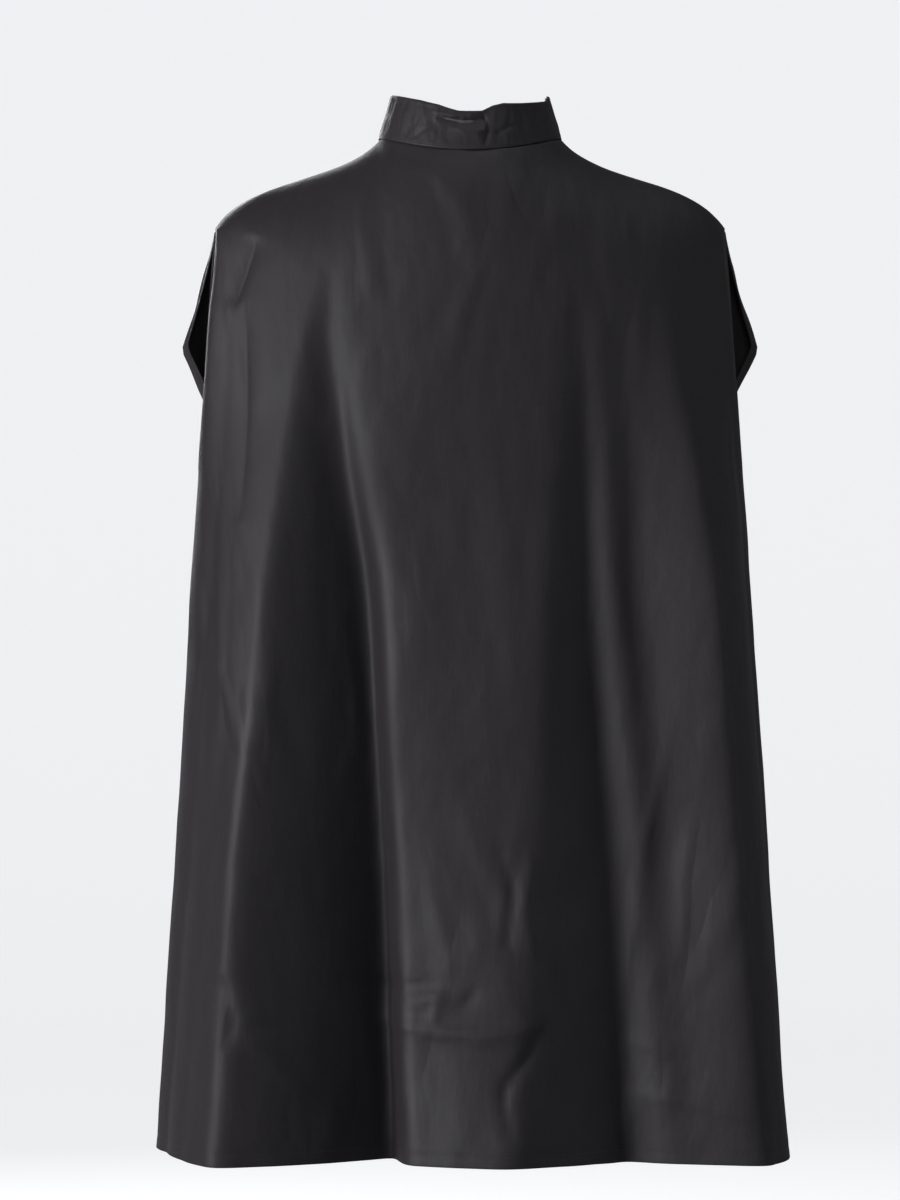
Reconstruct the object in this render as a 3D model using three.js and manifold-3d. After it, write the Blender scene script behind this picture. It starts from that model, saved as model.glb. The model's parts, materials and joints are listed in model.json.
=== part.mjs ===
// A barber cape: a knee-length black cotton cape with a stand collar, open armholes and a press-stud front.
// It is modelled as it hangs on a wearer. Millimetres, +Z up.
// The wearer faces -Y, so the wearer's left is +X.
// The origin is the middle of the neck opening, level with the collar seam at the centre back.
import * as THREE from "three";
import { mergeVertices } from "three/addons/utils/BufferGeometryUtils.js";
import Module from "manifold-3d";

const wasm = await Module();
wasm.setup();

// ---- Driving dimensions ----
const clearance = 0.3; // between neighbouring pieces
const collarSeamGap = 0.9; // between the neckline and the foot of the collar

// Cloth
const panelThickness = 1.0;
const bandLayerThickness = 0.8; // outer cloth and facing of the collar and the front bands
const interliningThickness = 0.5;

// Neck ring, which is the collar seam
const neckHalfWidth = 78;
const neckDepthBack = 74;
const neckDepthFront = 86;
const neckSideRise = 6;
const neckBackDrop = 9;
const neckFrontDrop = 58;

// Collar
const collarHeight = 38;
const collarLean = 0.14; // share by which the top edge is smaller than the seam

// Shoulders: the ring where the cloth stops sloping and starts to fall
const shoulderHalfWidth = 216;
const shoulderDrop = 68;
const backShelfDepth = 112;
const backShelfDrop = 130;
const frontShelfDepth = 108;
const frontShelfDrop = 190;

// Hem
const hemHalfWidth = 266;
const hemDepthBack = 165;
const hemDepthFront = 185;
const hemDrop = 846;

// Armhole
const armholeLength = 206; // from the shoulder tip down to the side seam
const armholeEndGap = 5; // how far each edge stands from the seam line at the two ends
const armholeBackSet = 20; // how far the back edge stands behind the seam line
const armholeFrontSet = 66; // how far the front edge stands before it
const armholeReach = { back: 34, front: 46 }; // degrees over which the cloth follows the armhole edge
const armholeFlare = 22; // how far the front edge stands out sideways at the elbow
const bindingWidth = 5;
const bindingThickness = 2.2;
const bindingStandOff = 1.2; // room between a binding and the bulging edge of the front

// Front opening
const bandHalfWidth = 15;
const hingeNeckX = 60; // where the fold line of each front meets the neckline
const hingeHemX = 100;
const underlapRamp = 26; // width over which the left front dips under the right band

// Press studs
const studCount = 6;
const studPitch = 115;
const firstStudDrop = 60; // below the neckline
const capRadius = 5.5;
const capHeight = 1.7;
const socketRadius = 4.6;
const socketHeight = 2.4;
const socketWeb = 0.8;
const headRadius = 2.0;
const headWaist = 1.55;
const flangeThickness = 0.8;
const shankRadius = 1.6;
const postRadius = 4.8;
const postThickness = 0.9;
const studSides = 10;
const studSeat = 0.6; // room between a stud piece and the cloth it is pressed against

// Hanger loop
const loopHalfSpan = 24;
const loopDrop = 30;
const loopTape = 7;
const loopThickness = 1.2;
const loopFlat = 20; // straight length at the foot of the loop
const loopStandOff = 2.6; // between the loop and the collar facing it is sewn to
const loopTop = -6; // above the collar seam

// ---- Sizes that follow ----
const bandThickness = 2 * bandLayerThickness + interliningThickness + 2 * clearance;
const socketTop = -(bandThickness + studSeat);
const socketFoot = socketTop - socketHeight;
const flangeTop = socketFoot - clearance;
const flangeFoot = flangeTop - flangeThickness;
const underlapInset = -flangeFoot + 0.7; // how far the left band lies inside the right one
const postTop = -(underlapInset + bandThickness + studSeat);
const neckDepthAtLoop = neckDepthBack * Math.sqrt(1 - (loopHalfSpan / neckHalfWidth) ** 2);
const loopBack = neckDepthAtLoop - bandThickness - loopStandOff;
const yokeShare = 0.2; // share of the row parameter that lies above the shelf ring
const armholeShare = armholeLength / (hemDrop - shoulderDrop);
const degree = Math.PI / 180;
const smooth = (t) => {
  const c = Math.min(1, Math.max(0, t));
  return c * c * (3 - 2 * c);
};
const mix = THREE.MathUtils.lerp;

// ---- The cape's surface ----
// theta is the angle round the wearer: 0 at the centre back, 90 at the left side, 180 at the centre front.
// v runs from 0 at the neckline to 1 at the hem.

// Ridges and valleys that open from the shoulders to the hem, in order round the wearer from the right side
// through the back to the left side and on through the front. Each has a turn round the wearer, in degrees,
// and a stand out from the even cape, both at the shoulders, a third and two thirds down, and at the hem.
const foldLines = [
  { turn: [-180, -180, -180, -180], stand: [0, 0, 0, 0] },
  { turn: [-166, -166, -166, -166], stand: [0, 0, 0, 0] },
  { turn: [-150, -150, -151, -151], stand: [0, -3, -6, -9] },
  { turn: [-134, -133, -131, -130], stand: [0, 3, 5, 8] },
  { turn: [-114, -113, -111, -110], stand: [0, -9, -19, -28] },
  { turn: [-90, -90, -90, -90], stand: [0, 0, 0, 0] },
  { turn: [-72, -70, -71, -72], stand: [0, 11, 10, 9] },
  { turn: [-56, -54, -55.5, -57], stand: [0, 34, 37, 41] },
  { turn: [-46, -46, -46, -46.5], stand: [0, 44, 51, 59] },
  { turn: [-36, -35.5, -38, -40], stand: [0, 6, 17, 29] },
  { turn: [-27.6, -28.4, -32.2, -35], stand: [0, 5, 4, 6] },
  { turn: [-26.5, -26.4, -29.8, -32], stand: [0, -10.5, -12.7, -18.7] },
  { turn: [-21.5, -15.5, -11.5, -6.5], stand: [0, 2, 7, 15] },
  { turn: [0, 0, -1, -1], stand: [0, 2, 8, 11] },
  { turn: [34.4, 18.5, 14.5, 11.7], stand: [0, -2, -8, -10] },
  { turn: [35.7, 25.1, 20.5, 17.9], stand: [0, -35, -48, -62] },
  { turn: [37, 40.3, 41, 40], stand: [0, 27, 50, 62] },
  { turn: [50, 49, 52, 54], stand: [0, 22, 26, 30] },
  { turn: [66, 63.3, 66, 69], stand: [0, 8, 8, 7] },
  { turn: [90, 90, 90, 90], stand: [0, 0, 0, 0] },
  { turn: [112, 111, 109, 108], stand: [0, -9, -17, -26] },
  { turn: [132, 131, 129, 128], stand: [0, 3, 5, 8] },
  { turn: [150, 150, 150, 150], stand: [0, -3, -5, -8] },
  { turn: [166, 166, 166, 166], stand: [0, 0, 0, 0] },
  { turn: [180, 180, 180, 180], stand: [0, 0, 0, 0] },
];

function atLevel(values, down) {
  const level = Math.min(values.length - 1.001, Math.max(0, down * (values.length - 1)));
  const above = Math.floor(level);
  return mix(values[above], values[above + 1], level - above);
}

function sharpFold(angle, down) {
  const next = Math.max(1, foldLines.findIndex((line) => atLevel(line.turn, down) >= angle));
  const [before, after] = [foldLines[next - 1], foldLines[next]];
  const [low, high] = [atLevel(before.turn, down), atLevel(after.turn, down)];
  return mix(atLevel(before.stand, down), atLevel(after.stand, down), (angle - low) / (high - low));
}

// Crests and hollows are rounded: each depth is a mean over a few degrees to either side.
const foldRounding = [
  { turn: -2.4, share: 0.1 },
  { turn: -1.2, share: 0.24 },
  { turn: 0, share: 0.32 },
  { turn: 1.2, share: 0.24 },
  { turn: 2.4, share: 0.1 },
];
function foldDepth(theta, down) {
  const angle = THREE.MathUtils.euclideanModulo(theta / degree + 180, 360) - 180;
  const looked = (turn) => THREE.MathUtils.clamp(angle + turn, -180, 180);
  return foldRounding.reduce((sum, { turn, share }) => sum + share * sharpFold(looked(turn), down), 0);
}

function neckPoint(theta) {
  const s = Math.sin(theta);
  const c = Math.cos(theta);
  const depth = c > 0 ? neckDepthBack : neckDepthFront;
  const drop = c > 0 ? neckBackDrop : neckFrontDrop;
  return new THREE.Vector3(neckHalfWidth * s, depth * c, neckSideRise * s * s - drop * c * c);
}

function shelfPoint(theta) {
  const s = Math.sin(theta);
  const c = Math.cos(theta);
  const depth = c > 0 ? backShelfDepth : frontShelfDepth;
  const drop = c > 0 ? backShelfDrop : frontShelfDrop;
  return new THREE.Vector3(shoulderHalfWidth * s, depth * c, -mix(drop, shoulderDrop, s ** 4));
}

function hemPoint(theta) {
  const c = Math.cos(theta);
  const depth = c > 0 ? hemDepthBack : hemDepthFront;
  return new THREE.Vector3(hemHalfWidth * Math.sin(theta), depth * c, -hemDrop);
}

// Slopes of the cloth where it leaves the neckline and where it reaches the shelf ring, as
// [out sideways at the sides, ahead at the middle, fall at the sides, fall at the middle].
const neckSlope = [100, 65, 110, 70];
const shelfSlope = [80, 18, 130, 150];
function yokeSlopes(theta) {
  const s = Math.sin(theta);
  const c = Math.cos(theta);
  const side = s * s;
  const facing = c * c;
  const forward = c > 0 ? 1 : -1;
  const sign = Math.sign(s);
  const slope = ([out, ahead, sideFall, midFall]) =>
    new THREE.Vector3(sign * out * side, forward * ahead * facing, -sideFall * side - midFall * facing);
  return [slope(neckSlope), slope(shelfSlope)];
}

// The sideways stand of the front edge: most at the elbow, then a little inward, then back on the seam.
const elbowShare = 0.47;
const tuckShare = 0.74;
const tuck = -0.3;
function flareAt(t) {
  if (t < elbowShare) return t / elbowShare;
  if (t < tuckShare) return mix(1, tuck, (t - elbowShare) / (tuckShare - elbowShare));
  return mix(tuck, 0, (t - tuckShare) / (1 - tuckShare));
}

// How far an armhole edge stands off the seam line, as [sideways, back or forth], at a share t of its length.
function armholeSet(t, half) {
  if (t <= 0 || t >= 1) return [0, 0];
  const swell = Math.sin(Math.PI * Math.min(1, Math.max(0, t)));
  if (half === "back") return [0, mix(armholeEndGap, armholeBackSet, swell)];
  return [armholeFlare * flareAt(t), -mix(armholeEndGap, armholeFrontSet, Math.pow(swell, 0.8))];
}

function bodyPoint(theta, v, half) {
  const shelf = shelfPoint(theta);
  if (v <= yokeShare) {
    const neck = neckPoint(theta);
    const [leave, arrive] = yokeSlopes(theta);
    const t = v / yokeShare;
    return new THREE.Vector3()
      .addScaledVector(neck, 2 * t ** 3 - 3 * t ** 2 + 1)
      .addScaledVector(leave, t ** 3 - 2 * t ** 2 + t)
      .addScaledVector(shelf, 3 * t ** 2 - 2 * t ** 3)
      .addScaledVector(arrive, t ** 3 - t ** 2);
  }
  const down = (v - yokeShare) / (1 - yokeShare);
  const point = shelf.lerp(hemPoint(theta), down);
  const outward = new THREE.Vector3(Math.sin(theta), Math.cos(theta), 0);
  point.addScaledVector(outward, foldDepth(theta, down));
  const fromSide = Math.abs(Math.abs(theta) - Math.PI / 2) / degree;
  const near = smooth(1 - fromSide / armholeReach[half]);
  const [sideways, across] = armholeSet(down / armholeShare, half);
  point.x += near * sideways * Math.sign(theta);
  point.y += near * across;
  return point;
}

// Outward normal of a surface given as a function of two parameters.
function normalOf(surface, a, b) {
  const step = 1e-4;
  const along = surface(a + step, b).sub(surface(a - step, b));
  const down = surface(a, b + step).sub(surface(a, b - step));
  return along.cross(down).normalize();
}

// The theta at which a row of the surface meets a condition, between two angles.
function findTheta(test, low, high) {
  let [a, b] = [low, high];
  for (let i = 0; i < 40; i++) {
    const middle = (a + b) / 2;
    if (Math.sign(test(middle)) === Math.sign(test(a))) a = middle;
    else b = middle;
  }
  return (a + b) / 2;
}

// ---- Solids ----

// A closed sheet: a grid of outer points and the same grid set in by the thickness along the normals.
function sheet(outer, inner) {
  const rows = outer.length;
  const columns = outer[0].length;
  const points = [...outer.flat(), ...inner.flat()];
  const faces = [];
  const at = (i, j, side) => side * rows * columns + i * columns + j;
  const quad = (a, b, c, d) => faces.push(a, b, c, a, c, d);
  for (let i = 0; i < rows - 1; i++) {
    for (let j = 0; j < columns - 1; j++) {
      quad(at(i, j, 0), at(i + 1, j, 0), at(i + 1, j + 1, 0), at(i, j + 1, 0));
      quad(at(i, j, 1), at(i, j + 1, 1), at(i + 1, j + 1, 1), at(i + 1, j, 1));
    }
  }
  for (let i = 0; i < rows - 1; i++) {
    quad(at(i, 0, 0), at(i, 0, 1), at(i + 1, 0, 1), at(i + 1, 0, 0));
    quad(at(i, columns - 1, 0), at(i + 1, columns - 1, 0), at(i + 1, columns - 1, 1), at(i, columns - 1, 1));
  }
  for (let j = 0; j < columns - 1; j++) {
    quad(at(0, j, 0), at(0, j + 1, 0), at(0, j + 1, 1), at(0, j, 1));
    quad(at(rows - 1, j, 0), at(rows - 1, j, 1), at(rows - 1, j + 1, 1), at(rows - 1, j + 1, 0));
  }
  const geometry = new THREE.BufferGeometry().setFromPoints(points);
  geometry.setIndex(faces);
  return toGeometry(toSolid(geometry));
}

function toSolid(geometry) {
  const bare = geometry.clone();
  bare.deleteAttribute("normal");
  bare.deleteAttribute("uv");
  const merged = mergeVertices(bare, 1e-4);
  const vertProperties = merged.attributes.position.array;
  const mesh = { numProp: 3, vertProperties, triVerts: new Uint32Array(merged.index.array) };
  const solid = new wasm.Manifold(new wasm.Mesh(mesh));
  if (solid.volume() > 0) return solid;
  mesh.triVerts.reverse();
  return new wasm.Manifold(new wasm.Mesh(mesh));
}

function toGeometry(solid) {
  const mesh = solid.getMesh();
  const geometry = new THREE.BufferGeometry();
  geometry.setAttribute("position", new THREE.BufferAttribute(mesh.vertProperties, 3));
  geometry.setIndex(new THREE.BufferAttribute(mesh.triVerts, 1));
  return geometry;
}

// A strip of the cape between two edges, which are thetas that may change from row to row. A function gives
// the thetas of a row's columns.
const evenly = (columns) => (v, from, to) =>
  Array.from({ length: columns + 1 }, (_, j) => mix(from, to, j / columns));
function panel({ half, from, to, thetas, thickness = panelThickness, depth = 0, underlap = () => 0 }) {
  const surface = (theta, v) => bodyPoint(theta, v, half);
  const outer = [];
  const inner = [];
  for (const v of rows) {
    outer.push([]);
    inner.push([]);
    for (const theta of thetas(v, from(v), to(v))) {
      const row = Math.min(1 - 1e-3, Math.max(1e-3, v));
      const normal = normalOf(surface, theta, row);
      const point = surface(theta, v);
      const level = new THREE.Vector3(normal.x, normal.y, 0).normalize();
      point.addScaledVector(level, -underlap(point.x));
      outer.at(-1).push(point.clone().addScaledVector(normal, -depth));
      inner.at(-1).push(point.clone().addScaledVector(normal, -depth - thickness));
    }
  }
  return sheet(outer, inner);
}

// Theta shifted so that an edge moves along the surface by a distance.
function shifted(theta, v, half, distance) {
  const step = 1e-3;
  const speed = bodyPoint(theta + step, v, half).distanceTo(bodyPoint(theta - step, v, half)) / (2 * step);
  return theta + distance / speed;
}

// ---- Edges between the pieces ----
const hingeX = (z) => mix(hingeNeckX, hingeHemX, Math.min(1, Math.max(0, -z / hemDrop)));
function foldTheta(v) {
  const pastFold = (theta) => {
    const point = bodyPoint(theta, v, "front");
    return point.x - hingeX(point.z);
  };
  return findTheta(pastFold, 100 * degree, 180 * degree);
}
function bandTheta(v, x) {
  return findTheta((theta) => bodyPoint(theta, v, "front").x - x, 120 * degree, 240 * degree);
}
const halfGap = clearance / 2 + 0.03;

const toRow = (t) => yokeShare + t * armholeShare * (1 - yokeShare);
const yokeRows = [0, 0.05, 0.1, 0.15, yokeShare];
const armholeShares = [0.02, 0.12, 0.25, 0.47, 0.7, 0.86, 0.98]; // both sides of the slit bend only here
const armholeRows = armholeShares.map(toRow);
const skirtRows = [1 / 3, 0.44, 0.55, 2 / 3, 0.83, 1].map((t) => mix(yokeShare, 1, t));
const rows = [...yokeRows, ...armholeRows, ...skirtRows];

const root = new THREE.Group();
const cloth = { color: 0x1c1a1d, roughness: 0.82, metalness: 0 };
const finishes = {
  cotton: cloth,
  lining: { color: 0x2b2a2c, roughness: 0.95, metalness: 0 },
  tape: { color: 0x161517, roughness: 0.8, metalness: 0 },
  stud_metal: { color: 0x3a393b, roughness: 0.35, metalness: 0.9 },
};

function add(name, geometry, finish, place = root) {
  const mesh = new THREE.Mesh(geometry, new THREE.MeshStandardMaterial(finishes[finish]));
  mesh.name = name;
  place.add(mesh);
  return mesh;
}

// ---- Back panel and the side part of each front ----
// The back's columns run down its ridges and valleys, with more between the wide ones.
const backSplits = [2, 2, 2, 1, 1, 1, 2, 2, 3, 1, 3, 1, 2, 3];
const backFolds = foldLines.filter((line) => Math.abs(line.turn[0]) < 89);
function backThetas(v, from, to) {
  const down = Math.max(0, (v - yokeShare) / (1 - yokeShare));
  const bends = [from, ...backFolds.map((line) => atLevel(line.turn, down) * degree), to];
  const between = (count, k) => evenly(count)(v, bends[k], bends[k + 1]).slice(0, count);
  return [...backSplits.flatMap(between), to];
}
add(
  "back_panel",
  panel({
    half: "back",
    from: (v) => shifted(-90 * degree, v, "back", halfGap),
    to: (v) => shifted(90 * degree, v, "back", -halfGap),
    thetas: backThetas,
  }),
  "cotton",
);

for (const [side, mirror] of [["left", 1], ["right", -1]]) {
  const seam = (v) => mirror * shifted(90 * degree, v, "front", halfGap);
  const fold = (v) => mirror * shifted(foldTheta(v), v, "front", -halfGap);
  const [from, to] = mirror > 0 ? [seam, fold] : [fold, seam];
  add(`${side}_front_side`, panel({ half: "front", from, to, thetas: evenly(8) }), "cotton");
}

// ---- Front flaps, which fold back along the fold lines ----
const underlap = (x) => underlapInset * smooth(1 - (x - bandHalfWidth - 2) / underlapRamp);
for (const [side, mirror, dip] of [["left", 1, underlap], ["right", -1, () => 0]]) {
  const fold = (v) => mirror * shifted(foldTheta(v), v, "front", halfGap);
  const band = (v) => mirror * shifted(bandTheta(v, bandHalfWidth), v, "front", -halfGap);
  const [from, to] = mirror > 0 ? [fold, band] : [band, fold];
  add(`${side}_front_flap`, panel({ half: "front", from, to, thetas: evenly(5), underlap: dip }), "cotton");
}

// ---- Press studs ----
// A stud's frame stands on the right band's outer face, with its axis along the outward normal.
const frontSurface = (theta, v) => bodyPoint(theta, v, "front");

function rowAtHeight(z) {
  let [a, b] = [0, 1];
  for (let i = 0; i < 40; i++) {
    const middle = (a + b) / 2;
    if (frontSurface(Math.PI, middle).z > z) a = middle;
    else b = middle;
  }
  return (a + b) / 2;
}

function collarPoint(theta, rise) {
  const point = neckPoint(theta);
  const lean = 1 - collarLean * rise;
  return point.set(point.x * lean, point.y * lean, point.z + collarSeamGap + rise * collarHeight);
}

const studPlaces = [];
for (let k = 0; k < studCount; k++) {
  const v = rowAtHeight(-neckFrontDrop - firstStudDrop - k * studPitch);
  studPlaces.push({ point: frontSurface(Math.PI, v), normal: normalOf(frontSurface, Math.PI, v) });
}
const collarDown = (theta, down) => collarPoint(theta, 1 - down);
studPlaces.unshift({ point: collarPoint(Math.PI, 0.5), normal: normalOf(collarDown, Math.PI, 0.5) });

function studFrame({ point, normal }) {
  const frame = new THREE.Group();
  frame.position.copy(point);
  frame.quaternion.setFromUnitVectors(new THREE.Vector3(0, 1, 0), normal);
  frame.updateMatrix();
  return frame;
}

function turned(profile) {
  return new THREE.LatheGeometry(profile.map(([r, w]) => new THREE.Vector2(r, w)), studSides);
}

const holeRadius = shankRadius + clearance;
const profiles = {
  cap: [
    [0, socketTop - socketWeb],
    [shankRadius, socketTop - socketWeb],
    [shankRadius, clearance],
    [capRadius - 0.3, clearance],
    [capRadius, clearance + 0.5],
    [capRadius - 0.6, clearance + 1.1],
    [capRadius * 0.5, clearance + capHeight - 0.1],
    [0, clearance + capHeight],
  ],
  socket: [
    [holeRadius, socketTop - socketWeb],
    [headRadius + 0.4, socketTop - socketWeb],
    [headRadius + 0.4, socketFoot],
    [socketRadius, socketFoot],
    [socketRadius, socketTop],
    [holeRadius, socketTop],
    [holeRadius, socketTop - socketWeb],
  ],
  stud: [
    [0, postTop - postThickness],
    [shankRadius, postTop - postThickness],
    [shankRadius, flangeFoot],
    [socketRadius, flangeFoot],
    [socketRadius, flangeTop],
    [headWaist, flangeTop],
    [headWaist, flangeTop + 0.7],
    [headRadius, flangeTop + 1.2],
    [headRadius - 0.5, socketTop - socketWeb - clearance],
    [0, socketTop - socketWeb - clearance],
  ],
  post: [
    [holeRadius, postTop - postThickness],
    [postRadius, postTop - postThickness],
    [postRadius, postTop],
    [holeRadius, postTop],
    [holeRadius, postTop - postThickness],
  ],
};

studPlaces.forEach((place, k) => {
  const frame = studFrame(place);
  for (const [piece, profile] of Object.entries(profiles)) {
    const label = k === 0 ? "collar" : `front_${k}`;
    add(`${label}_snap_${piece}`, turned(profile), "stud_metal", frame);
  }
  root.add(frame);
});

// The band layers with a hole for each stud's shank.
function pierced(geometry, places) {
  const hole = new THREE.CylinderGeometry(holeRadius + 0.1, holeRadius + 0.1, 40, studSides);
  let solid = toSolid(geometry);
  for (const place of places) {
    const frame = studFrame(place);
    solid = solid.subtract(toSolid(hole.clone().applyMatrix4(frame.matrix)));
  }
  return toGeometry(solid);
}

const layers = [
  ["outer", bandLayerThickness, 0, "cotton"],
  ["interlining", interliningThickness, bandLayerThickness + clearance, "lining"],
  ["facing", bandLayerThickness, bandLayerThickness + interliningThickness + 2 * clearance, "cotton"],
];

// ---- Front bands: the right one lies over the left one ----
for (const [side, inset] of [["left", underlapInset], ["right", 0]]) {
  for (const [layer, thickness, depth, finish] of layers) {
    const band = panel({
      half: "front",
      from: (v) => shifted(bandTheta(v, bandHalfWidth), v, "front", halfGap),
      to: (v) => shifted(bandTheta(v, -bandHalfWidth), v, "front", -halfGap),
      thetas: evenly(2),
      thickness,
      depth,
      underlap: () => inset,
    });
    add(`${side}_band_${layer}`, pierced(band, studPlaces.slice(1)), finish);
  }
}

// ---- Stand collar ----
const collarFoldTheta = foldTheta(0);
const collarEndTheta = findTheta((theta) => neckPoint(theta).x + bandHalfWidth, Math.PI, 1.5 * Math.PI);

function collarPiece({ from, to, columns, thickness, depth, dip = () => 0 }) {
  const outer = [];
  const inner = [];
  for (const rise of [1, 0.5, 0]) {
    outer.push([]);
    inner.push([]);
    for (let j = 0; j <= columns; j++) {
      const theta = mix(from, to, j / columns);
      const point = collarPoint(theta, rise);
      const normal = normalOf(collarDown, theta, 1 - rise);
      const level = new THREE.Vector3(normal.x, normal.y, 0).normalize();
      point.addScaledVector(level, -dip(point.x) - depth);
      outer.at(-1).push(point.clone());
      inner.at(-1).push(point.clone().addScaledVector(level, -thickness));
    }
  }
  return sheet(outer, inner);
}

const collarGap = halfGap / neckHalfWidth;
for (const [layer, thickness, depth, finish] of layers) {
  const stretches = [
    ["back", -collarFoldTheta, collarFoldTheta, 20],
    ["left", collarFoldTheta, collarEndTheta, 7],
    ["right", -collarEndTheta, -collarFoldTheta, 7],
  ];
  for (const [side, start, end, columns] of stretches) {
    const [from, to] = [start + collarGap, end - collarGap];
    const dip = side === "left" ? underlap : undefined;
    const piece = collarPiece({ from, to, columns, thickness, depth, dip });
    const holes = side === "back" ? [] : studPlaces.slice(0, 1);
    add(`collar_${side}_${layer}`, pierced(piece, holes), finish);
  }
}

// ---- Armhole bindings: a closed band round each armhole ----
function bindingLoop(mirror) {
  const at = (half, t) => bodyPoint((mirror * Math.PI) / 2, toRow(t), half);
  const down = armholeShares.map((t) => at("back", t));
  const up = armholeShares.toReversed().map((t) => at("front", t));
  return [...down, ...up];
}

for (const [side, mirror] of [["left", 1], ["right", -1]]) {
  const loop = bindingLoop(mirror);
  const middle = loop.reduce((sum, p) => sum.add(p), new THREE.Vector3()).divideScalar(loop.length);
  const outward = new THREE.Vector3(mirror, 0, 0);
  const ring = loop.map((point, i) => {
    const along = loop[(i + 1) % loop.length].clone().sub(loop.at(i - 1)).normalize();
    const inward = along.clone().cross(outward).normalize();
    if (inward.dot(middle.clone().sub(point)) < 0) inward.negate();
    const normal = inward.clone().cross(along).normalize();
    if (normal.dot(outward) < 0) normal.negate();
    const near = clearance + bindingStandOff;
    const far = near + bindingWidth;
    const half = bindingThickness / 2;
    const corners = [[near, half], [far, half], [far, -half], [near, -half]];
    return corners.map(([a, b]) => point.clone().addScaledVector(inward, a).addScaledVector(normal, b));
  });
  const points = ring.flat();
  const faces = [];
  for (let i = 0; i < ring.length; i++) {
    for (let j = 0; j < 4; j++) {
      const [a, b] = [4 * i + j, 4 * i + ((j + 1) % 4)];
      const [c, d] = [(a + 4) % points.length, (b + 4) % points.length];
      faces.push(a, b, d, a, d, c);
    }
  }
  const geometry = new THREE.BufferGeometry().setFromPoints(points);
  geometry.setIndex(faces);
  add(`${side}_armhole_binding`, toGeometry(toSolid(geometry)), "tape");
}

// ---- Hanger loop: a flat tape inside the back of the neck ----
const loopShape = new THREE.Shape();
const foot = loopFlat / 2;
const outerFoot = foot + loopTape * 0.5;
loopShape.moveTo(-loopHalfSpan, 0);
loopShape.quadraticCurveTo(-loopHalfSpan, -loopDrop, -outerFoot, -loopDrop);
loopShape.lineTo(outerFoot, -loopDrop);
loopShape.quadraticCurveTo(loopHalfSpan, -loopDrop, loopHalfSpan, 0);
loopShape.lineTo(loopHalfSpan - loopTape, 0);
loopShape.quadraticCurveTo(loopHalfSpan - loopTape, -loopDrop + loopTape, foot, -loopDrop + loopTape);
loopShape.lineTo(-foot, -loopDrop + loopTape);
loopShape.quadraticCurveTo(-loopHalfSpan + loopTape, -loopDrop + loopTape, -loopHalfSpan + loopTape, 0);
loopShape.closePath();
const loopOptions = { depth: loopThickness, bevelEnabled: false, curveSegments: 6 };
const loopGeometry = new THREE.ExtrudeGeometry(loopShape, loopOptions);
const hangerLoop = add("hanger_loop", toGeometry(toSolid(loopGeometry)), "tape");
hangerLoop.rotation.x = Math.PI / 2;
hangerLoop.position.set(0, loopBack, loopTop);

export default root;
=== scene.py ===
import json
import math

import bpy
import numpy as np
from mathutils import Matrix, Vector


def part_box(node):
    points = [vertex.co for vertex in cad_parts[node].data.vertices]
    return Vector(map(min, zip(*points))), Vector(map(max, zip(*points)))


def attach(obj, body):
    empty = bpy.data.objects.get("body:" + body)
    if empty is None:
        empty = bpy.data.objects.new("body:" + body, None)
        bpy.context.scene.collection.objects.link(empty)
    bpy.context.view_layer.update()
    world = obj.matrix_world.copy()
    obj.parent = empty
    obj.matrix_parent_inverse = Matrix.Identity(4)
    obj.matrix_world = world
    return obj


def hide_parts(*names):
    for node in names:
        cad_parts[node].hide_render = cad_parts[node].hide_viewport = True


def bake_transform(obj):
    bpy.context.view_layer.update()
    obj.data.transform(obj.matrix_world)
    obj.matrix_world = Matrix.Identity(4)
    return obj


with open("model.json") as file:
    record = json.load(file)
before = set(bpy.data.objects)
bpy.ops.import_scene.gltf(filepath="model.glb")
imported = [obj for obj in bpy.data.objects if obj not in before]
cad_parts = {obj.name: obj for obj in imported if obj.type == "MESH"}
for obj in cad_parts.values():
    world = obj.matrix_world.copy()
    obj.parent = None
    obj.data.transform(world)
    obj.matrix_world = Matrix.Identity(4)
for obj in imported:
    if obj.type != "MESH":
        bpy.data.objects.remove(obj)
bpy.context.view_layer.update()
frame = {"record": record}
joints = {joint["name"]: joint for joint in frame["record"]["behaviour"]["joints"]}

# ---- Camera, floor and light ----
# A level camera behind the wearer's back, a pale bowl of floor and wall all round, a large soft window
# of light on the wearer's left, and weaker lights behind, on the right, in front and overhead.
lens_mm = 141
sensor_mm = 36
picture_height = 1.02
camera_distance = picture_height * lens_mm / sensor_mm
camera_side = 0.017
camera_level = -0.384
floor_level = -1.42

camera = bpy.data.objects.new("camera", bpy.data.cameras.new("camera"))
bpy.context.scene.collection.objects.link(camera)
camera.data.lens = lens_mm
camera.data.sensor_width = sensor_mm
camera.location = (camera_side, camera_distance, camera_level)
camera.rotation_euler = (math.pi / 2, 0, math.pi)
bpy.context.scene.camera = camera


def pick(piece=None):
    """Leaves edit mode and selects only this piece, or nothing."""
    if bpy.context.object and bpy.context.object.mode != "OBJECT":
        bpy.ops.object.mode_set(mode="OBJECT")
    bpy.ops.object.select_all(action="DESELECT")
    if piece:
        piece.select_set(True)
        bpy.context.view_layer.objects.active = piece


def plain_material(name, color, roughness):
    material = bpy.data.materials.new(name)
    material.use_nodes = True
    shader = material.node_tree.nodes["Principled BSDF"]
    shader.inputs["Base Color"].default_value = (*color, 1)
    shader.inputs["Roughness"].default_value = roughness
    return material


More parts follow.
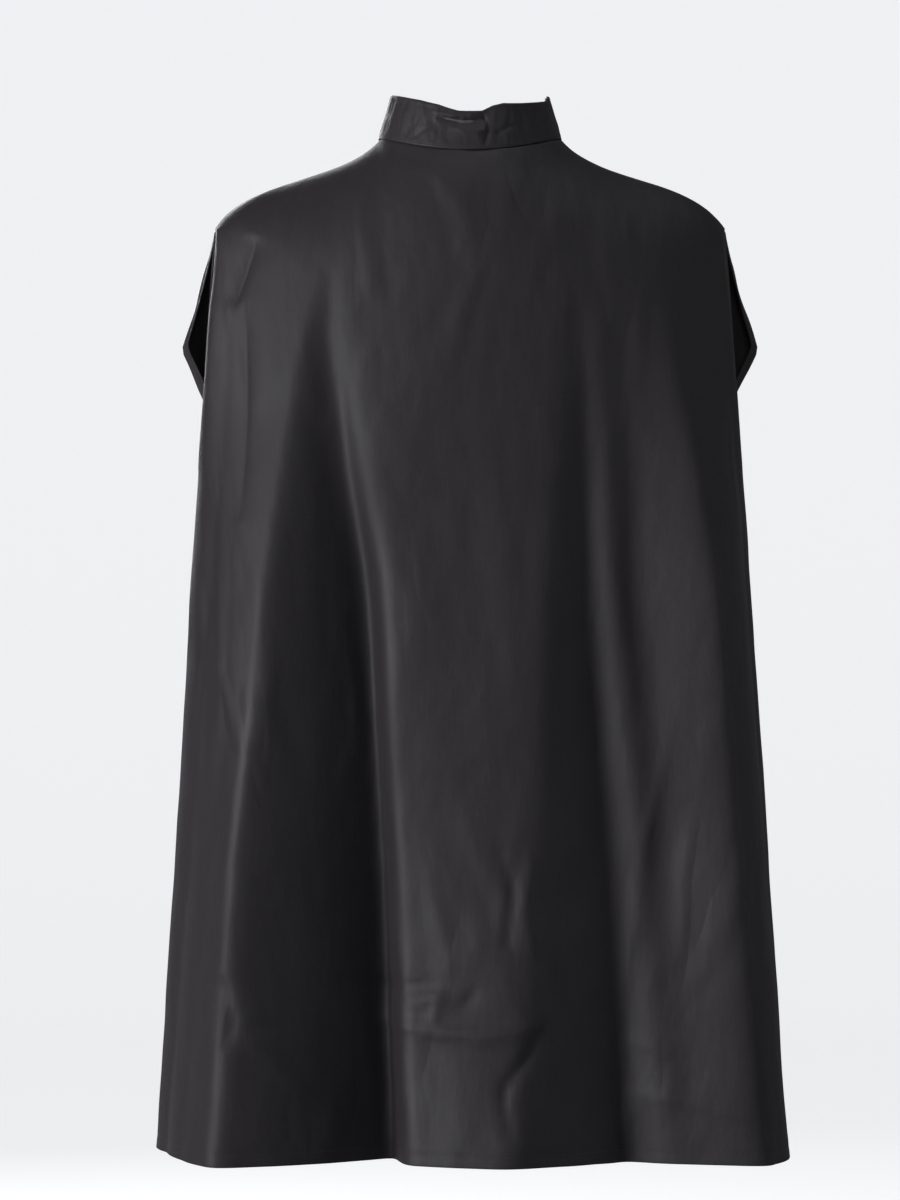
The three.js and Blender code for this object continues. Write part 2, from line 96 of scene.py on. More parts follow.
bowl_radius = 9.5
cove_radius = 2.5
wall_top = 6.0
pick()
bpy.ops.mesh.primitive_circle_add(vertices=96, radius=bowl_radius - cove_radius, fill_type="NGON",
                                  location=(0, 0, floor_level))
bowl = bpy.context.object
bowl.name = "floor"
bpy.ops.object.mode_set(mode="EDIT")
bpy.ops.mesh.select_all(action="SELECT")
cove_steps = 12
for step in range(1, cove_steps + 1):
    turn = step / cove_steps * math.pi / 2
    before = (step - 1) / cove_steps * math.pi / 2
    out = bowl_radius - cove_radius + cove_radius * math.sin(turn)
    was = bowl_radius - cove_radius + cove_radius * math.sin(before)
    rise = cove_radius * (math.cos(before) - math.cos(turn))
    bpy.ops.mesh.extrude_region_move(TRANSFORM_OT_translate={"value": (0, 0, rise)})
    bpy.ops.transform.resize(value=(out / was, out / was, 1))
wall_height = wall_top - floor_level - cove_radius
bpy.ops.mesh.extrude_region_move(TRANSFORM_OT_translate={"value": (0, 0, wall_height)})
bpy.ops.mesh.delete(type="ONLY_FACE")
bpy.ops.object.mode_set(mode="OBJECT")
bpy.ops.object.shade_smooth()
pale = plain_material("pale_floor", (0.22, 0.22, 0.222), 0.9)
pale_shader = pale.node_tree.nodes["Principled BSDF"]
pale_shader.inputs["Emission Color"].default_value = (0.97, 0.98, 1.0, 1)
seen = pale.node_tree.nodes.new("ShaderNodeLightPath")
glow = pale.node_tree.nodes.new("ShaderNodeMath")
glow.operation = "MULTIPLY"
glow.inputs[1].default_value = 0.82
pale.node_tree.links.new(seen.outputs["Is Camera Ray"], glow.inputs[0])
pale.node_tree.links.new(glow.outputs[0], pale_shader.inputs["Emission Strength"])
bowl.data.materials.append(pale)

world = bpy.data.worlds.new("studio")
bpy.context.scene.world = world
world.use_nodes = True
world.node_tree.nodes["Background"].inputs["Color"].default_value = (1, 1, 1, 1)
world.node_tree.nodes["Background"].inputs["Strength"].default_value = 0.04
bpy.context.scene.view_settings.view_transform = "Standard"


def area_light(name, place, target, size, watts):
    light = bpy.data.objects.new(name, bpy.data.lights.new(name, "AREA"))
    bpy.context.scene.collection.objects.link(light)
    light.data.shape = "RECTANGLE"
    light.data.size, light.data.size_y = size
    light.data.energy = watts
    light.location = place
    light.visible_camera = False
    light.rotation_euler = (Vector(target) - Vector(place)).to_track_quat("-Z", "Y").to_euler()


area_light("key", (7.0, 3.7, 0.5), (0, 0, -0.4), (2.6, 3.2), 600)
area_light("fill", (-0.6, 5.6, 1.0), (0, 0, -0.4), (2.4, 2.4), 45)
area_light("far_side", (-5.6, 1.0, 0.2), (0, 0, -0.4), (1.6, 2.6), 26)
area_light("front", (1.2, -4.0, 0.9), (0, 0, -0.4), (2.0, 2.0), 110)
area_light("overhead", (-0.8, 0.5, 4.6), (0, 0, -0.2), (2.4, 2.0), 48)

# ---- The cape's surface ----
# One formula gives the whole cape: an angle round the wearer, 0 at the centre back and 90 degrees at
# the wearer's left side, and a share down from the neckline to the hem.
neck_half_width = 0.078
neck_back = 0.074
neck_front = 0.086
neck_rise = 0.006
neck_drop_back = 0.009
neck_drop_front = 0.058
shoulder_half_width = 0.216
shoulder_drop = 0.068
shelf_back = 0.112
shelf_drop_back = 0.130
shelf_front = 0.108
shelf_drop_front = 0.190
hem_half_width = 0.266
hem_back = 0.165
hem_front = 0.185
hem_drop = 0.846
yoke_share = 0.2
neck_slope = (0.100, 0.065, 0.110, 0.070)
shelf_slope = (0.080, 0.018, 0.130, 0.150)

# Ridges and valleys, each as its angle at the shoulders, a third and two thirds of the way down and at
# the hem, in degrees, and how far it stands out there, in metres.
fold_levels = (0, 1 / 3, 2 / 3, 1)
fold_lines = [
    ((-180, -180, -180, -180), (0, 0, 0, 0)),
    ((-166, -166, -166, -166), (0, 0, 0, 0)),
    ((-150, -150, -151, -151), (0, -0.003, -0.006, -0.009)),
    ((-134, -133, -131, -130), (0, 0.003, 0.005, 0.008)),
    ((-114, -113, -111, -110), (0, -0.009, -0.019, -0.028)),
    ((-90, -90, -90, -90), (0, 0, 0, 0)),
    ((-72, -70, -71, -72), (0, 0.011, 0.010, 0.009)),
    ((-56, -54, -55.5, -57), (0, 0.037, 0.041, 0.045)),
    ((-46, -46, -46, -46.5), (0, 0.050, 0.058, 0.066)),
    ((-36, -35.5, -38, -40), (0, 0.004, 0.014, 0.026)),
    ((-27.6, -28.4, -32.2, -35), (0, 0.005, 0.004, 0.006)),
    ((-26.5, -26.4, -29.8, -32), (0, -0.0105, -0.0127, -0.0187)),
    ((-21.5, -15.5, -11.5, -6.5), (0, 0.006, 0.011, 0.018)),
    ((0, 0, -1, -1), (0, 0, 0.006, 0.010)),
    ((34.4, 18.5, 14.5, 11.7), (0, 0.001, -0.004, -0.006)),
    ((35.7, 25.1, 20.5, 17.9), (0, -0.035, -0.048, -0.062)),
    ((37, 40.3, 41, 40), (0, 0.027, 0.05, 0.062)),
    ((50, 49, 52, 54), (0, 0.022, 0.026, 0.03)),
    ((66, 63.3, 66, 69), (0, 0.008, 0.008, 0.007)),
    ((90, 90, 90, 90), (0, 0, 0, 0)),
    ((112, 111, 109, 108), (0, -0.009, -0.017, -0.026)),
    ((132, 131, 129, 128), (0, 0.003, 0.005, 0.008)),
    ((150, 150, 150, 150), (0, -0.003, -0.005, -0.008)),
    ((166, 166, 166, 166), (0, 0, 0, 0)),
    ((180, 180, 180, 180), (0, 0, 0, 0)),
]
armhole_length = 0.206
armhole_end_gap = 0.005
armhole_back_set = 0.020
armhole_front_set = 0.066
armhole_flare = 0.022
armhole_share = armhole_length / (hem_drop - shoulder_drop)
armhole_reach = {"back": 34, "front": 46}
elbow_share = 0.47
tuck_share = 0.74
tuck = -0.3


def ease(t):
    t = np.clip(t, 0.0, 1.0)
    return t * t * (3 - 2 * t)


def mix(a, b, t):
    return a + (b - a) * t


def fold_depth(degrees, down):
    """How far the ridges and valleys stand out, in metres. Crests and hollows are rounded."""
    degrees, down = np.broadcast_arrays(degrees, down)
    angles = np.stack([np.interp(down, fold_levels, line) for line, _ in fold_lines])
    depths = np.stack([np.interp(down, fold_levels, depth) for _, depth in fold_lines])
    total = np.zeros(degrees.shape)
    for turn, part in ((-2.4, 0.1), (-1.2, 0.24), (0, 0.32), (1.2, 0.24), (2.4, 0.1)):
        looked = np.clip(degrees + turn, -180, 180)
        after = np.clip((angles <= looked).sum(0), 1, len(fold_lines) - 1)[None]
        low, high = np.take_along_axis(angles, after - 1, 0)[0], np.take_along_axis(angles, after, 0)[0]
        near, far = np.take_along_axis(depths, after - 1, 0)[0], np.take_along_axis(depths, after, 0)[0]
        total = total + part * mix(near, far, np.clip((looked - low) / (high - low), 0, 1))
    return total


def armhole_set(t, half):
    """How far an armhole edge stands off the seam line, sideways and back or forth."""
    swell = np.sin(math.pi * np.clip(t, 0, 1))
    inside = (t > 0) & (t < 1)
    if half == "back":
        return np.zeros_like(t), np.where(inside, mix(armhole_end_gap, armhole_back_set, swell), 0)
    flare = np.interp(t, [0, elbow_share, tuck_share, 1], [0, 1, tuck, 0])
    forth = mix(armhole_end_gap, armhole_front_set, swell**0.8)
    return np.where(inside, armhole_flare * flare, 0), np.where(inside, -forth, 0)


def cape(theta, v, half):
    """The cape's outer face at an angle in radians and a share down, as an array of points."""
    theta, v = (np.array(a, float) for a in np.broadcast_arrays(theta, v))
    s, c = np.sin(theta), np.cos(theta)
    behind = c > 0
    forward = np.where(behind, 1.0, -1.0)
    side, facing = s * s, c * c

    def ring(half_width, depth_back, depth_front, height):
        return np.stack([half_width * s, np.where(behind, depth_back, depth_front) * c, height], -1)

    def slope(out, ahead, side_fall, mid_fall):
        fall = -side_fall * side - mid_fall * facing
        return np.stack([out * side * np.sign(s), ahead * facing * forward, fall], -1)

    neck_fall = np.where(behind, neck_drop_back, neck_drop_front) * facing
    neck = ring(neck_half_width, neck_back, neck_front, neck_rise * side - neck_fall)
    shelf_drop = np.where(behind, shelf_drop_back, shelf_drop_front)
    shelf = ring(shoulder_half_width, shelf_back, shelf_front, -mix(shelf_drop, shoulder_drop, side * side))
    hem = ring(hem_half_width, hem_back, hem_front, np.full_like(s, -hem_drop))
    t = np.clip(v / yoke_share, 0, 1)[..., None]
    yoke = neck * (2 * t**3 - 3 * t**2 + 1) + slope(*neck_slope) * (t**3 - 2 * t**2 + t)
    yoke += shelf * (3 * t**2 - 2 * t**3) + slope(*shelf_slope) * (t**3 - t**2)
    down = np.clip((v - yoke_share) / (1 - yoke_share), 0, 1)
    outward = np.stack([s, c, np.zeros_like(s)], -1)
    fall = mix(shelf, hem, down[..., None]) + outward * fold_depth(np.degrees(theta), down)[..., None]
    from_side = np.abs(np.abs(np.degrees(theta)) - 90)
    near = ease(1 - from_side / armhole_reach[half])
    sideways, across = armhole_set(down / armhole_share, half)
    fall[..., 0] += near * sideways * np.sign(theta)
    fall[..., 1] += near * across
    return np.where((v <= yoke_share)[..., None], yoke, fall)


# ---- Cotton poplin ----
# A plain weave of fine black yarn: threads every third of a millimetre, thicker yarns here and there,
# a low soft sheen, and the faint crumples that cotton keeps after it has been folded.
def group(name, inputs, outputs):
    tree = bpy.data.node_groups.new(name, "ShaderNodeTree")
    for label, kind, value in inputs:
        socket = tree.interface.new_socket(label, in_out="INPUT", socket_type=kind)
        if value is not None:
            socket.default_value = value
    for label, kind in outputs:
        tree.interface.new_socket(label, in_out="OUTPUT", socket_type=kind)
    return tree, tree.nodes.new("NodeGroupInput"), tree.nodes.new("NodeGroupOutput")


def node(tree, kind, links=None, **settings):
    made = tree.nodes.new(kind)
    for key, value in settings.items():
        if key.startswith("in_"):
            made.inputs[int(key[3:])].default_value = value
        else:
            setattr(made, key, value)
    for key, source in (links or {}).items():
        tree.links.new(source, made.inputs[key])
    return made


def maths(tree, operation, a, b=None, c=None):
    made = tree.nodes.new("ShaderNodeMath")
    made.operation = operation
    for slot, value in enumerate((a, b, c)):
        if isinstance(value, (int, float)):
            made.inputs[slot].default_value = value
        elif value is not None:
            tree.links.new(value, made.inputs[slot])
    return made.outputs[0]


thread_pitch = 0.00034
weave, given, gives = group(
    "poplin_weave",
    [("UV", "NodeSocketVector", None), ("Pitch", "NodeSocketFloat", thread_pitch),
     ("Slubs", "NodeSocketFloat", 0.5)],
    [("Height", "NodeSocketFloat"), ("Tone", "NodeSocketFloat")],
)
split = node(weave, "ShaderNodeSeparateXYZ", {0: given.outputs["UV"]})
across = maths(weave, "DIVIDE", split.outputs[0], given.outputs["Pitch"])
along = maths(weave, "DIVIDE", split.outputs[1], given.outputs["Pitch"])
warp = maths(weave, "SINE", maths(weave, "MULTIPLY", across, math.pi))
weft = maths(weave, "SINE", maths(weave, "MULTIPLY", along, math.pi))
woven = maths(weave, "MULTIPLY", warp, weft)
stretch_down = node(weave, "ShaderNodeMapping", {0: given.outputs["UV"]}, in_3=(900, 22, 1))
stretch_along = node(weave, "ShaderNodeMapping", {0: given.outputs["UV"]}, in_3=(22, 900, 1))
slub_down = node(weave, "ShaderNodeTexNoise", {0: stretch_down.outputs[0]}, in_2=1.0, in_3=2.0)
slub_along = node(weave, "ShaderNodeTexNoise", {0: stretch_along.outputs[0]}, in_2=1.0, in_3=2.0)
slubs = maths(weave, "ADD", slub_down.outputs[0], slub_along.outputs[0])
slubs = maths(weave, "MULTIPLY", maths(weave, "SUBTRACT", slubs, 1.0), given.outputs["Slubs"])
weave.links.new(maths(weave, "ADD", maths(weave, "MULTIPLY", woven, 0.5), slubs), gives.inputs["Height"])
weave.links.new(maths(weave, "ADD", slubs, 0.5), gives.inputs["Tone"])

crumple, given, gives = group(
    "cotton_crumples",
    [("UV", "NodeSocketVector", None), ("Scale", "NodeSocketFloat", 14.0)],
    [("Height", "NodeSocketFloat"), ("Wear", "NodeSocketFloat")],
)
tall = node(crumple, "ShaderNodeMapping", {0: given.outputs["UV"]}, in_3=(1.0, 0.45, 1))
bent = node(crumple, "ShaderNodeTexNoise", {0: tall.outputs[0]}, in_2=9.0, in_3=3.0)
bend = node(crumple, "ShaderNodeVectorMath", {0: bent.outputs[1]}, operation="SCALE")
bend.inputs[3].default_value = 0.06
moved = node(crumple, "ShaderNodeVectorMath", {0: tall.outputs[0], 1: bend.outputs[0]}, operation="ADD")
cracks = node(crumple, "ShaderNodeTexVoronoi", {0: moved.outputs[0], 2: given.outputs["Scale"]},
              feature="DISTANCE_TO_EDGE")
ridge = node(crumple, "ShaderNodeMapRange", {0: cracks.outputs[0]}, in_1=0.0, in_2=0.22, in_3=1.0, in_4=0.0)
ridge.interpolation_type = "SMOOTHSTEP"
patches = node(crumple, "ShaderNodeTexNoise", {0: given.outputs["UV"]}, in_2=5.0, in_3=2.0)
where = node(crumple, "ShaderNodeMapRange", {0: patches.outputs[0]}, in_1=0.45, in_2=0.7)
soft = node(crumple, "ShaderNodeTexNoise", {0: tall.outputs[0]}, in_2=26.0, in_3=4.0)
creased = maths(crumple, "MULTIPLY", ridge.outputs[0], where.outputs[0])
crumple.links.new(maths(crumple, "ADD", creased, soft.outputs[0]), gives.inputs["Height"])
crumple.links.new(patches.outputs[0], gives.inputs["Wear"])


def poplin(name, color, light, crumple_depth=0.0018, weave_depth=0.00006):
    """A woven cotton of the given colour, with a lighter colour for its raised and worn yarns."""
    material = bpy.data.materials.new(name)
    material.use_nodes = True
    tree = material.node_tree
    shader = tree.nodes["Principled BSDF"]
    shader.inputs["Specular IOR Level"].default_value = 0.35
    shader.inputs["Sheen Weight"].default_value = 0.04
    shader.inputs["Sheen Roughness"].default_value = 0.45
    shader.inputs["Sheen Tint"].default_value = (0.92, 0.9, 1.0, 1)
    uv = node(tree, "ShaderNodeUVMap", uv_map="cloth")
    threads = node(tree, "ShaderNodeGroup", node_tree=weave)
    threads.inputs["Pitch"].default_value = thread_pitch
    threads.inputs["Slubs"].default_value = 0.5
    folds = node(tree, "ShaderNodeGroup", node_tree=crumple)
    folds.inputs["Scale"].default_value = 14.0
    tree.links.new(uv.outputs[0], threads.inputs["UV"])
    tree.links.new(uv.outputs[0], folds.inputs["UV"])
    tone = maths(tree, "ADD", threads.outputs["Tone"], maths(tree, "MULTIPLY", folds.outputs["Wear"], 0.6))
    share = node(tree, "ShaderNodeMapRange", {0: tone}, in_1=0.45, in_2=1.15)
    colors = node(tree, "ShaderNodeMix", data_type="RGBA")
    tree.links.new(share.outputs[0], colors.inputs[0])
    colors.inputs[6].default_value = (*color, 1)
    colors.inputs[7].default_value = (*light, 1)
    tree.links.new(colors.outputs[2], shader.inputs["Base Color"])
    rough = node(tree, "ShaderNodeMapRange", {0: folds.outputs["Wear"]}, in_1=0.3, in_2=0.7,
                 in_3=0.66, in_4=0.52)
    tree.links.new(rough.outputs[0], shader.inputs["Roughness"])
    large = node(tree, "ShaderNodeBump", {3: folds.outputs["Height"]}, in_0=1.0, in_1=crumple_depth)
    small = node(tree, "ShaderNodeBump", {3: threads.outputs["Height"]}, in_0=0.8, in_1=weave_depth)
    tree.links.new(large.outputs[0], small.inputs["Normal"])
    tree.links.new(small.outputs[0], shader.inputs["Normal"])
    return material


cotton = poplin("black_poplin", (0.0125, 0.0105, 0.013), (0.0215, 0.0185, 0.023))


# ---- Back panel ----
# One piece of poplin from the collar seam to the hem. It hangs from the shoulders in three deep flutes,
# is sewn to the fronts along the shoulders and sides, and keeps a few pressed-in creases low down.
cloth_thickness = 0.0004
hem_width = 0.011
ply_gap = 0.00042
seam_gap = math.radians(0.03)
hem_share = hem_width / (hem_drop - shelf_drop_back) * (1 - yoke_share)
stitch_share = 0.86 * hem_share


def noise(x, y, seed):
    """Smooth random hills from -1 to 1, one hill to each unit of x and y."""
    lattice = np.random.default_rng(seed).uniform(-1, 1, (64, 64))
    i, j = np.floor(x).astype(int), np.floor(y).astype(int)
    along, up = ease(x - i), ease(y - j)

    def corner(a, b):
        return lattice[(i + a) % 64, (j + b) % 64]

    return mix(mix(corner(0, 0), corner(1, 0), along), mix(corner(0, 1), corner(1, 1), along), up)


def crease(x, z, route, depth, width):
    """A sharp fold along a route of points, deepest on the route and gone at its two ends."""
    best = np.full(np.broadcast(x, z).shape, 9.0)
    place = np.zeros_like(best)
    count = len(route) - 1
    for k, ((x0, z0), (x1, z1)) in enumerate(zip(route, route[1:])):
        dx, dz = x1 - x0, z1 - z0
        t = np.clip(((x - x0) * dx + (z - z0) * dz) / (dx * dx + dz * dz), 0, 1)
        away = np.hypot(x - x0 - t * dx, z - z0 - t * dz)
        place = np.where(away < best, (k + t) / count, place)
        best = np.minimum(best, away)
    return depth * np.exp(-best / width) * np.sqrt(np.sin(math.pi * np.clip(place, 0.0, 1.0)))


def lengths(grid, axis):
    """Distance run along one direction of a grid of points, from its first row or column."""
    steps = np.linalg.norm(np.diff(grid, axis=axis), axis=-1)
    first = np.zeros_like(np.take(steps, [0], axis=axis))
    return np.cumsum(np.concatenate([first, steps], axis=axis), axis=axis)


def normals(grid):
    """Outward directions of a grid of points whose rows run down and whose columns run towards the left."""
    outward = np.cross(np.gradient(grid, axis=1), np.gradient(grid, axis=0))
    return outward / np.linalg.norm(outward, axis=-1, keepdims=True)


def new_piece(name, points, faces, material):
    mesh = bpy.data.meshes.new(name)
    mesh.from_pydata(np.asarray(points).reshape(-1, 3).tolist(), [], faces)
    mesh.polygons.foreach_set("use_smooth", [True] * len(mesh.polygons))
    mesh.materials.append(material)
    piece = bpy.data.objects.new(name, mesh)
    bpy.context.scene.collection.objects.link(piece)
    return piece


def cloth(name, grid, thickness, material, start=0):
    """A sheet of cloth over a grid of points, with its thickness inward. Its rows run down and its columns
    run towards the wearer's left, so its outer face is outside. Its UV map is metres along and down."""
    rows, columns = grid.shape[:2]
    index = np.arange(rows * columns).reshape(rows, columns)
    corners = [index[:-1, :-1], index[:-1, 1:], index[1:, 1:], index[1:, :-1]]
    faces = np.stack(corners, -1).reshape(-1, 4)
    piece = new_piece(name, grid, faces.tolist(), material)
    along = lengths(grid, 1)
    along = along - along[:, start : start + 1]
    flat = np.stack([along, -lengths(grid, 0)], -1).reshape(-1, 2)
    layer = piece.data.uv_layers.new(name="cloth")
    layer.data.foreach_set("uv", flat[faces.reshape(-1)].astype(np.float32).ravel())
    pick(piece)
    solid = piece.modifiers.new("thickness", "SOLIDIFY")
    solid.thickness = thickness
    solid.offset = -1
    bpy.ops.object.modifier_apply(modifier=solid.name)
    return piece


def face_out(piece):
    """Turns the faces of a closed shape outwards."""
    pick(piece)
    bpy.ops.object.mode_set(mode="EDIT")
    bpy.ops.mesh.select_all(action="SELECT")
    bpy.ops.mesh.normals_make_consistent(inside=False)
    bpy.ops.object.mode_set(mode="OBJECT")


def outward_of(theta):
    return np.stack([np.sin(theta), np.cos(theta), np.zeros_like(theta)], -1)


# Rows of the body panels: close at the yoke and the ends of the armholes, and one on the hem's stitching.
armhole_steps = [0.0, 0.004, 0.015, 0.03, 0.05, *np.linspace(0.08, 0.92, 30), 0.95, 0.97, 0.985, 0.996, 1.0]
armhole_rows = [yoke_share + t * armhole_share * (1 - yoke_share) for t in armhole_steps]
hem_rows = [1 - hem_share, 1 - stitch_share, 1 - 0.5 * hem_share, 1 - 0.2 * hem_share, 1.0]
yoke_rows = np.linspace(0, yoke_share, 41)[:-1]
skirt_rows = np.linspace(armhole_rows[-1], hem_rows[0], 112)[1:-1]
body_rows = np.concatenate([yoke_rows, armhole_rows, skirt_rows, hem_rows])[:, None]
stitch_row = len(body_rows) - 4

# Creases of the back, each as a route of (x, z), a depth and a width.
crease_strength = 1.5
back_creases = [
    ([(0.2066, -0.692), (0.1978, -0.728), (0.202, -0.752)], -0.0045, 0.008),
    ([(0.181, -0.732), (0.145, -0.736)], -0.0016, 0.004),
    ([(0.185, -0.740), (0.152, -0.772), (0.1226, -0.798)], 0.0022, 0.005),
    ([(0.109, -0.698), (0.060, -0.702), (0.013, -0.696)], -0.0016, 0.004),
    ([(0.081, -0.728), (0.037, -0.736), (-0.007, -0.740), (-0.059, -0.732)], 0.0026, 0.006),
    ([(0.069, -0.720), (0.025, -0.708), (0.033, -0.736)], 0.0018, 0.004),
    ([(0.013, -0.720), (-0.007, -0.704)], -0.0014, 0.004),
    ([(-0.059, -0.732), (-0.047, -0.756), (-0.0286, -0.780), (-0.027, -0.792), (-0.0326, -0.824)],
     -0.0034, 0.006),
    ([(-0.023, -0.584), (-0.035, -0.625), (-0.029, -0.672)], -0.0020, 0.005),
    ([(-0.049, -0.590), (-0.043, -0.640), (-0.051, -0.680)], 0.0018, 0.005),
    ([(-0.127, -0.744), (-0.167, -0.757)], 0.0020, 0.004),
    ([(-0.125, -0.788), (-0.180, -0.796), (-0.231, -0.808)], 0.0026, 0.006),
    ([(-0.175, -0.448), (-0.140, -0.592), (-0.125, -0.712)], 0.0018, 0.008),
    ([(0.183, -0.079), (0.194, -0.108), (0.202, -0.137)], -0.0050, 0.009),
    ([(0.191, -0.135), (0.190, -0.230), (0.193, -0.318)], -0.0035, 0.009),
]


def crumples(x, z, seed):
    """Soft wandering unevenness of hung cotton: long hills down the cloth, and small ones over them."""
    bend = 0.35 * noise(x * 11, z * 9, seed + 5)
    soft = 0.0016 * noise(x * 17 + bend, z * 3.2, seed)
    small = 0.0006 * noise(x * 45 + 3 * bend, z * 13 + bend, seed + 1)
    fine = 0.00025 * noise(x * 95 + 4 * bend, z * 42, seed + 2)
    return soft + small + fine


def roll_shoulders(grid, calm):
    """Lets the cloth roll over the shoulders instead of turning at a line, where calm is above 0."""
    for _ in range(120):
        middle = (grid[:-2] + grid[2:]) / 2
        grid[1:-1] += 0.5 * calm[1:-1, :, None] * (middle - grid[1:-1])
    return grid


def hang(grid, theta, v, stand):
    """Adds creases and unevenness to a panel, draws its seams in, and puckers its neck edge and hem."""
    x, z = grid[..., 0], grid[..., 2]
    t = (v - yoke_share) / (1 - yoke_share) / armhole_share
    sewn = np.where((t > -0.02) & (t < 1.02), 0.0, 1.0)
    seam = np.exp(-(((90 - np.abs(np.degrees(theta))) / 0.8) ** 2))
    around = lengths(grid, 1)
    roping = 0.00045 * noise(around * 75 + 0.4 * noise(around * 20, z * 0, 31), z * 60, 30)
    hem_grip = ease((v - (1 - 2.6 * hem_share)) / (1.6 * hem_share))
    pucker = 0.0011 * noise(around * 75, v * 50, 33) * np.exp(-v / 0.03)
    stand = stand + roping * hem_grip + pucker - 0.00025 * (np.abs(v - (1 - stitch_share)) < 1e-9)
    stand = stand * (1 - seam) - 0.0007 * seam * sewn
    return grid + outward_of(theta) * stand[..., None]


def turn_up(grid):
    """Folds the hem up inside: four rows of the panel again, one ply in, after a small round fold."""
    outward = normals(grid)
    fold = 2 * ply_gap
    bottom = grid[-1]
    round_fold = []
    for turn in (math.pi / 4, math.pi / 2, 3 * math.pi / 4):
        drop = np.array([0, 0, -fold / 2 * math.sin(turn)])
        round_fold.append(bottom - outward[-1] * fold / 2 * (1 - math.cos(turn)) + drop)
    inside = [grid[k] - outward[k] * fold for k in (-1, -2, -3, -4, -5)]
    return np.concatenate([grid, np.stack(round_fold), np.stack(inside)])


def tuck_in(grid, theta):
    """Carries the neck edge in and up behind the collar as its seam allowance."""
    outward = outward_of(theta[0])
    rows = []
    for up, inward in ((0.0058, 0.00135), (0.0030, 0.00135), (0.0006, 0.00135), (0.0001, 0.0007)):
        rows.append(grid[0] - outward * (inward + 0.29 * up) + np.array([0, 0, up]))
    return np.concatenate([np.stack(rows), grid])


back_columns = 221
theta = np.linspace(-math.pi / 2 + seam_gap, math.pi / 2 - seam_gap, back_columns)[None, :]
theta = np.broadcast_to(theta, (len(body_rows), back_columns))
grid = cape(theta, body_rows, "back")
calm = (1 - ease((np.abs(np.degrees(theta)) - 62) / 24)) * ease(body_rows / 0.08)
calm = calm * ease((0.62 - body_rows) / 0.2)
grid = roll_shoulders(grid, calm)
stand = crumples(grid[..., 0], grid[..., 2], 7) * ease(body_rows / 0.05)
for route, depth, width in back_creases:
    stand = stand + crease_strength * crease(grid[..., 0], grid[..., 2], route, depth, width)
back_grid = hang(grid, theta, body_rows, stand)
back = cloth("back_panel_cloth", tuck_in(turn_up(back_grid), theta), cloth_thickness, cotton,
             start=back_columns // 2)
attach(back, "cape_body")
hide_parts("back_panel")


# ---- Fronts ----
# Each front is one piece of poplin from the side seam to the front band. The left front dips inward to pass
# under the right band.
band_half_width = 0.015
underlap_inset = 0.0075
underlap_start = 0.002
underlap_ramp = 0.026
bend_half_width = 0.022
arm_swell = 0.0115
front_columns = 116
under_band = (0.0013, 0.0008, 0.0003, -0.0002, -0.0030, -0.0055)
under_band_depth = 0.00137


def angle_at(v, x):
    """The angle at which a row of the front is at a distance x to the left of the centre."""
    low, high = np.full(np.shape(v), math.radians(120)), np.full(np.shape(v), math.pi)
    for _ in range(40):
        middle = (low + high) / 2
        left_of = cape(middle, v, "front")[..., 0] > x
        low, high = np.where(left_of, middle, low), np.where(left_of, high, middle)
    return (low + high) / 2


def front_face(theta, v):
    """The cape's front and its outward direction."""
    step = 1e-3
    row = np.clip(v, step, 1 - step)
    along = cape(theta + step, row, "front") - cape(theta - step, row, "front")
    down = cape(theta, row + step, "front") - cape(theta, row - step, "front")
    outward = np.cross(along, down)
    return cape(theta, v, "front"), outward / np.linalg.norm(outward, axis=-1, keepdims=True)


def level(outward):
    flat = outward * np.array([1, 1, 0])
    return flat / np.linalg.norm(flat, axis=-1, keepdims=True)


def underlap(x):
    """How far the left front dips in to pass under the right, at a distance x left of the centre."""
    return underlap_inset * ease(1 - (x - band_half_width - underlap_start) / underlap_ramp)


def bend_at_fold(piece, side):
    """Works out the fold line down from the side of the neck, but only bakes the piece's placement into its
    mesh; the piece does not bend with its front.
    """
    joint = joints[f"{side}_front_open"]
    place, axis = Vector(joint["pos_m"]), Vector(joint["axis"]).normalized()
    across = Vector((-1 if side == "left" else 1, 0, 0))
    across = (across - axis * across.dot(axis)).normalized() * bend_half_width
    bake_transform(piece)


